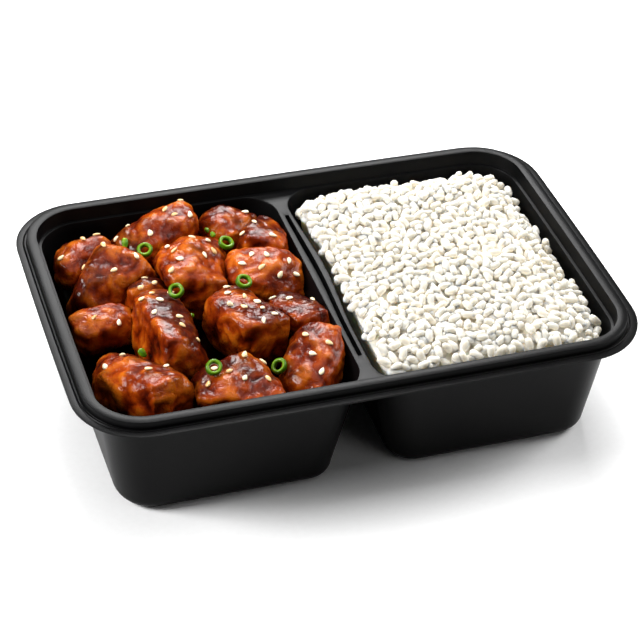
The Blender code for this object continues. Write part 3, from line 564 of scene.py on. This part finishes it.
def seed_places(piece):
    """Where seeds are fused to a solid: clusters of vertices joined by edges far shorter than its own."""
    mesh = bmesh.new()
    mesh.from_mesh(piece.data)
    mesh.edges.ensure_lookup_table()
    groups = {vert: {vert} for vert in mesh.verts}
    for edge in mesh.edges:
        a, b = edge.verts
        if edge.calc_length() < SEED_EDGE * MM and groups[a] is not groups[b]:
            groups[a] |= groups[b]
            for vert in groups[b]:
                groups[vert] = groups[a]
    seen, places = set(), []
    for group in groups.values():
        if id(group) in seen or not SEED_VERTS[0] <= len(group) <= SEED_VERTS[1]:
            continue
        seen.add(id(group))
        # A set has no order of its own, so the points are sorted and each run turns a seed the same way
        points = np.array([vert.co for vert in sorted(group, key=lambda vert: vert.index)])
        middle = points.mean(axis=0)
        spread = np.linalg.svd(points - middle)[2]
        places.append((Vector(middle), Vector(spread[0])))
    mesh.free()
    return places


def store(piece, name, values):
    attribute = piece.data.attributes.new(name, "FLOAT", "POINT")
    attribute.data.foreach_set("value", np.asarray(values, dtype=np.float32))


def dress_chicken(node):
    """One piece of chicken in the place of its solid: rounded, folded, and marked where glaze collects and,
    low down, where it goes near-black for pooled sauce and painted shade between the pieces.
    """
    shown = not node.startswith("chicken_lower")
    piece = copy_solid(node, node + "_glazed")
    seeds = seed_places(piece)
    voxel = VOXEL_FINE if shown else VOXEL_COARSE
    finish_modifier(piece, "REMESH", {"mode": "VOXEL", "voxel_size": voxel * MM})
    finish_modifier(piece, "SMOOTH", {"factor": 0.5, "iterations": PASSES_BEFORE})
    finish_modifier(piece, "DISPLACE", {"strength": PLUMP * MM, "mid_level": 0.0})
    count = len(piece.data.vertices)
    plain = np.empty(count * 3)
    piece.data.vertices.foreach_get("co", plain)
    finish_modifier(piece, "DISPLACE", {"texture": folds, "texture_coords": "GLOBAL",
                                        "strength": FOLD_DEPTH * MM, "mid_level": 0.45})
    finish_modifier(piece, "DISPLACE", {"texture": creases, "texture_coords": "GLOBAL",
                                        "strength": -CREASE_DEPTH * MM, "mid_level": 0.4})
    finish_modifier(piece, "SMOOTH", {"factor": 0.4, "iterations": 1})
    bpy.ops.object.shade_smooth()
    shaped = np.empty(count * 3)
    normals = np.empty(count * 3)
    piece.data.vertices.foreach_get("co", shaped)
    piece.data.vertex_normals.foreach_get("vector", normals)
    shaped, normals = shaped.reshape(-1, 3), normals.reshape(-1, 3)
    lift = ((shaped - plain.reshape(-1, 3)) * normals).sum(axis=1) / MM
    shaped[:, 2] = np.clip(shaped[:, 2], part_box(node)[0][2], cad_high[2] - SEED_ROOM * MM)
    piece.data.vertices.foreach_set("co", shaped.ravel())
    store(piece, "ridge", np.clip(0.5 + lift / LIFT_RANGE, 0, 1))
    # Marks the part from 37 mm down to 25 mm for darkening: partly sauce pooled low between the pieces,
    # partly painted shade there
    store(piece, "sauce_and_shade", np.clip((SAUCE_AND_SHADE_HIGH - shaped[:, 2] / MM) / (SAUCE_AND_SHADE_HIGH - SAUCE_AND_SHADE_LOW), 0, 1))
    heading, amount = GLAZE_SIDE.get(node, (90, 1.0))
    side = np.array([math.cos(math.radians(heading)), math.sin(math.radians(heading)), 0.0])
    low, high = shaped.min(axis=0), shaped.max(axis=0)
    across = (shaped - (low + high) / 2) @ side / (np.linalg.norm(high[:2] - low[:2]) / 2)
    thick = SIDE_SHARE * (normals @ side) + TOP_SHARE * normals[:, 2] + PLACE_SHARE * across
    store(piece, "glaze", np.clip(GLAZE_LEAST + amount * (GLAZE_EVEN + GLAZE_SHARE * thick), 0, 1))
    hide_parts(node)
    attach(piece, "root")
    return piece, seeds


chicken, seeds_on = [], []
for node in sorted(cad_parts):
    if node.startswith("chicken"):
        piece, seeds = dress_chicken(node)
        chicken.append(piece)
        seeds_on += [(piece, seed) for seed in seeds]

# Chicken under a soy glaze: browned meat, amber to red-brown, under a clear wet coat that is wine-dark and
# smooth where it is thick. Low down it goes nearly black, partly sauce pooled there and partly painted shade
# between the pieces. The coat gives small sharp lights.
glazed, tree, shader = start_material("chicken_under_soy_glaze", {
    "Metallic": 0.0, "IOR": 1.42, "Specular IOR Level": 0.04, "Subsurface Weight": 0.1,
    "Subsurface Radius": (1.0, 0.35, 0.15), "Subsurface Scale": 1.0 * MM,
    "Coat Weight": 0.38, "Coat Roughness": 0.06, "Coat IOR": 1.42})
place = add_node(tree, "TexCoord").outputs["Object"]
broad = add_node(tree, "TexNoise", {
    "Scale": 1 / (10 * MM), "Detail": 3.0, "Roughness": 0.55, "Distortion": 0.4}, {"Vector": place})
mottle = add_node(tree, "TexNoise", {
    "Scale": 1 / (3.2 * MM), "Detail": 4.0, "Roughness": 0.6, "Distortion": 0.8}, {"Vector": place})
fine = add_node(tree, "TexNoise", {
    "noise_type": "RIDGED_MULTIFRACTAL", "Scale": 1 / (1.9 * MM), "Detail": 2.0,
    "Distortion": 0.5}, {"Vector": place})
ridge = add_node(tree, "Attribute", {"attribute_name": "ridge"}).outputs["Fac"]
glaze = add_node(tree, "Attribute", {"attribute_name": "glaze"}).outputs["Fac"]
sauce_and_shade = add_node(tree, "Attribute", {"attribute_name": "sauce_and_shade"}).outputs["Fac"]
warm = add_node(tree, "Math", {"operation": "MULTIPLY_ADD", 1: 0.35}, {0: mottle.outputs["Fac"], 2: ridge})
meat = add_node(tree, "ValToRGB", None, {"Fac": warm.outputs["Value"]},
                ramp=[(0.3, "#300601"), (0.5, "#5f1902"), (0.72, "#873104"), (0.95, "#ab540e")])
thick = add_node(tree, "Math", {"operation": "MULTIPLY_ADD", 1: 0.8}, {0: broad.outputs["Fac"], 2: glaze})
mask = add_node(tree, "MapRange", {"From Min": 0.76, "From Max": 1.1, "interpolation_type": "SMOOTHSTEP"},
                {"Value": thick.outputs["Value"]})
wine = add_node(tree, "ValToRGB", None, {"Fac": mottle.outputs["Fac"]},
                ramp=[(0.3, "#240502"), (0.75, "#430d03")])
coat = add_node(tree, "Mix", {"data_type": "RGBA"},
                {0: mask.outputs["Result"], 6: meat.outputs["Color"], 7: wine.outputs["Color"]})
# Near-black mixed in low on each piece: partly pooled sauce, partly painted shade between the pieces
sunk_and_shaded = add_node(tree, "Mix", {"data_type": "RGBA", 7: linear("#1a0401")}, {0: sauce_and_shade, 6: coat.outputs[2]})
rough = add_node(tree, "MapRange", {"To Min": 0.32, "To Max": 0.5}, {"Value": mottle.outputs["Fac"]})
crinkle = add_node(tree, "Math", {"operation": "MULTIPLY_ADD", 1: -0.34},
                   {0: fine.outputs["Fac"], 2: mottle.outputs["Fac"]})
calm = add_node(tree, "MapRange", {"To Min": 0.85, "To Max": 0.4}, {"Value": mask.outputs["Result"]})
relief = add_node(tree, "Bump", {"Distance": 0.55 * MM},
                  {"Height": crinkle.outputs["Value"], "Strength": calm.outputs["Result"]})
tree.links.new(sunk_and_shaded.outputs[2], shader.inputs["Base Color"])
tree.links.new(rough.outputs["Result"], shader.inputs["Roughness"])
tree.links.new(relief.outputs["Normal"], shader.inputs["Normal"])
tree.links.new(relief.outputs["Normal"], shader.inputs["Coat Normal"])
for piece in chicken:
    piece.data.materials.append(glazed)

# Toasted white sesame: flat teardrops of about 3.2 by 2 by 1.1 mm, stuck in the glaze at the places where
# the solids have them
SEED_HALF = (1.6, 1.0, 0.55)
SEED_SIZES = (0.9, 1.1)
SEED_TONES = (0.2, 1.0)
bpy.ops.object.select_all(action="DESELECT")
bpy.ops.mesh.primitive_uv_sphere_add(segments=10, ring_count=8, radius=1.0, rotation=(0, math.pi / 2, 0))
seed = bpy.context.object
bpy.ops.object.transform_apply(rotation=True)
for vert in seed.data.vertices:
    x, y, z = vert.co
    vert.co = (x, y * (1 - 0.32 * x - 0.12 * x * x), z * (1 - 0.25 * x))
seed_points = np.array([vert.co for vert in seed.data.vertices])
seed_faces = [tuple(face.vertices) for face in seed.data.polygons]
bpy.data.objects.remove(seed, do_unlink=True)
places = []
for piece, (middle, along) in seeds_on:
    hit, outward, _, _ = search_tree(piece).find_nearest(middle)
    along = (along - outward * along.dot(outward)).normalized()
    axes = np.array([along, outward.cross(along), outward]).T
    size = np.array(SEED_HALF) * draw.uniform(*SEED_SIZES)
    places.append((np.array(hit + outward * SEED_LIFT * MM) / MM, axes * size, 0))
sesame = join_copies("sesame_seeds", seed_points, seed_faces, places, lambda level: draw.uniform(*SEED_TONES))
hulled, tree, shader = start_material("sesame_toasted", {
    "Metallic": 0.0, "IOR": 1.45, "Specular IOR Level": 0.5, "Subsurface Weight": 0.15,
    "Subsurface Radius": (1.0, 0.7, 0.4), "Subsurface Scale": 0.6 * MM,
    "Coat Weight": 0.4, "Coat Roughness": 0.15})
place = add_node(tree, "TexCoord").outputs["Object"]
tone = add_node(tree, "Attribute", {"attribute_name": "tone"}).outputs["Fac"]
fleck = add_node(tree, "TexNoise", {"Scale": 1 / (0.9 * MM), "Detail": 2.0}, {"Vector": place})
blend = add_node(tree, "Math", {"operation": "MULTIPLY_ADD", 1: 0.4}, {0: fleck.outputs["Fac"], 2: tone})
ivory = add_node(tree, "ValToRGB", None, {"Fac": blend.outputs["Value"]},
                 ramp=[(0.35, "#d3a05c"), (0.7, "#ecd29e"), (1.0, "#f7e8c4")])
satin = add_node(tree, "MapRange", {"To Min": 0.3, "To Max": 0.45}, {"Value": fleck.outputs["Fac"]})
tree.links.new(ivory.outputs["Color"], shader.inputs["Base Color"])
tree.links.new(satin.outputs["Result"], shader.inputs["Roughness"])
sesame.data.materials.append(hulled)
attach(sesame, "root")

# Spring onion, cut across: green tubes 6.4 mm wide and 2.2 mm long, and small bits of the same leaf
RING_MIDDLE = 2.42
RING_HALF_WALL = 0.76
RING_HALF_LENGTH = 1.1
OVALNESS = 0.09
RIPPLE = 0.05
SQUARENESS = 0.75
DARK_TONE = 0.15
PALE_TONE = 0.5
PALE_RADIUS = 2.3
PALE_REACH = 0.8
PALE_FROM = 0.4
BIT_ROUGHNESS = 0.25
BIT_TONE = 0.45
BIT_TONE_SPREAD = 0.5
leaf, tree, shader = start_material("spring_onion_cut", {
    "Metallic": 0.0, "IOR": 1.4, "Specular IOR Level": 0.2, "Subsurface Weight": 0.15,
    "Subsurface Radius": (0.8, 1.0, 0.2), "Subsurface Scale": 0.5 * MM,
    "Coat Weight": 0.2, "Coat Roughness": 0.1})
place = add_node(tree, "TexCoord").outputs["Object"]
cell = add_node(tree, "TexNoise", {"Scale": 1 / (0.8 * MM), "Detail": 3.0}, {"Vector": place})
depth = add_node(tree, "Attribute", {"attribute_name": "tone"}).outputs["Fac"]
blend = add_node(tree, "Math", {"operation": "MULTIPLY_ADD", 1: 0.35}, {0: cell.outputs["Fac"], 2: depth})
green = add_node(tree, "ValToRGB", None, {"Fac": blend.outputs["Value"]},
                 ramp=[(0.1, "#1f4002"), (0.5, "#436f04"), (0.9, "#7a9c1c"), (1.0, "#b4c653")])
moist = add_node(tree, "MapRange", {"To Min": 0.25, "To Max": 0.4}, {"Value": cell.outputs["Fac"]})
relief = add_node(tree, "Bump", {"Strength": 0.3, "Distance": 0.06 * MM}, {"Height": cell.outputs["Fac"]})
tree.links.new(green.outputs["Color"], shader.inputs["Base Color"])
tree.links.new(moist.outputs["Result"], shader.inputs["Roughness"])
tree.links.new(relief.outputs["Normal"], shader.inputs["Normal"])
for node in sorted(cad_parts):
    if not node.startswith("onion_ring"):
        continue
    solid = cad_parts[node].data
    points = np.array([vert.co for vert in solid.vertices])
    middle = points.mean(axis=0)
    axes = np.linalg.svd(points - middle)[2]
    normal = Vector(axes[2]) if axes[2][2] > 0 else -Vector(axes[2])
    bpy.ops.object.select_all(action="DESELECT")
    bpy.ops.mesh.primitive_torus_add(major_segments=40, minor_segments=12, major_radius=RING_MIDDLE * MM,
                                     minor_radius=RING_HALF_WALL * MM)
    ring = bpy.context.object
    ring.name = node + "_cut"
    for vert in ring.data.vertices:
        spread = vert.co.xy.length / MM - RING_MIDDLE
        z = vert.co.z / MM
        box = max(abs(spread), abs(z)) / max(0.001, math.hypot(spread, z))
        full = 1 + (1 / box - 1) * SQUARENESS
        angle = math.atan2(vert.co.y, vert.co.x)
        wobble = OVALNESS * math.sin(2 * angle + middle[0] * 900) + RIPPLE * math.sin(5 * angle)
        radius = RING_MIDDLE + spread * full + wobble
        vert.co = Vector((radius * math.cos(angle), radius * math.sin(angle),
                          z * full * RING_HALF_LENGTH / RING_HALF_WALL)) * MM
    tones = []
    for vert in ring.data.vertices:
        nearness = max(0.0, 1 - abs(vert.co.xy.length / MM - PALE_RADIUS) / PALE_REACH)
        tones.append(DARK_TONE + PALE_TONE * nearness * (vert.co.z > PALE_FROM * MM))
    store(ring, "tone", tones)
    turn = normal.to_track_quat("Z", "Y").to_matrix().to_4x4()
    ring.data.transform(Matrix.Translation(Vector(middle)) @ turn)
    bpy.ops.object.shade_smooth()
    ring.data.materials.append(leaf)
    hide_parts(node)
    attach(ring, "root")
for node in sorted(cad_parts):
    if not node.startswith("onion_bit"):
        continue
    bit = copy_solid(node, node + "_cut")
    finish_modifier(bit, "SUBSURF", {"levels": 2, "render_levels": 2})
    for vert in bit.data.vertices:
        vert.co += vert.normal * BIT_ROUGHNESS * MM * noise.noise(vert.co / (1.3 * MM))
    bpy.ops.object.shade_smooth()
    tones = [BIT_TONE + BIT_TONE_SPREAD * noise.noise(vert.co / (1.8 * MM)) for vert in bit.data.vertices]
    store(bit, "tone", tones)
    bit.data.materials.append(leaf)
    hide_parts(node)
    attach(bit, "root")

# The pale floor that the tray stands on, the studio's soft lights and the camera
bpy.ops.object.select_all(action="DESELECT")
bpy.ops.mesh.primitive_plane_add(size=6.0, location=(0, 0, -0.0003))
floor = bpy.context.object
floor.name = "floor"
paper, tree, shader = start_material("matt_white_paper", {"Roughness": 0.9, "Specular IOR Level": 0.1})
place = add_node(tree, "TexCoord").outputs["Object"]
fibre = add_node(tree, "TexNoise", {"Scale": 400.0, "Detail": 2.0}, {"Vector": place})
shade = add_node(tree, "ValToRGB", None, {"Fac": fibre.outputs["Fac"]},
                 ramp=[(0.0, "#f8f8f8"), (1.0, "#ffffff")])
tree.links.new(shade.outputs["Color"], shader.inputs["Base Color"])
floor.data.materials.append(paper)

world = bpy.data.worlds.new("studio")
bpy.context.scene.world = world
world.use_nodes = True
world.node_tree.nodes["Background"].inputs["Color"].default_value = linear("#ffffff")
world.node_tree.nodes["Background"].inputs["Strength"].default_value = 0.02


LIGHT_AIM = Vector((0, 0, 0.03))


def soft_light(name, place, size, watts):
    data = bpy.data.lights.new(name, "AREA")
    data.shape = "RECTANGLE"
    data.size, data.size_y = size
    data.energy = watts
    light = bpy.data.objects.new(name, data)
    bpy.context.scene.collection.objects.link(light)
    light.location = place
    light.rotation_euler = (LIGHT_AIM - Vector(place)).to_track_quat("-Z", "Y").to_euler()


soft_light("back_softbox", (0.14, 0.74, 0.62), (0.6, 0.26), 13.0)
soft_light("top_softbox", (0.0, 0.0, 1.1), (1.0, 1.0), 5.4)
soft_light("left_softbox", (-0.9, 0.1, 0.6), (0.4, 0.4), 14.5)
soft_light("right_softbox", (0.9, 0.1, 0.6), (0.5, 0.5), 8.0)
soft_light("top_spark", (0.12, 0.42, 0.95), (0.14, 0.14), 2.4)
soft_light("front_fill", (0.7, -0.9, 0.8), (0.7, 0.7), 1.3)

camera_data = bpy.data.cameras.new("camera")
camera_data.lens = 116.9
camera_data.sensor_width = 36.0
camera_data.clip_start = 0.01
camera_data.clip_end = 20.0
camera = bpy.data.objects.new("camera", camera_data)
bpy.context.scene.collection.objects.link(camera)
right = (0.95166239, -0.30442159, 0.04081909)
up = (0.15623249, 0.59419838, 0.78899917)
back = (-0.26444302, -0.74448357, 0.61303679)
camera_place = (-0.21931637, -0.61744003, 0.53658633)
camera.matrix_world = Matrix.Translation(camera_place) @ Matrix((right, up, back)).transposed().to_4x4()
bpy.context.scene.camera = camera
bpy.context.scene.view_settings.view_transform = "Standard"
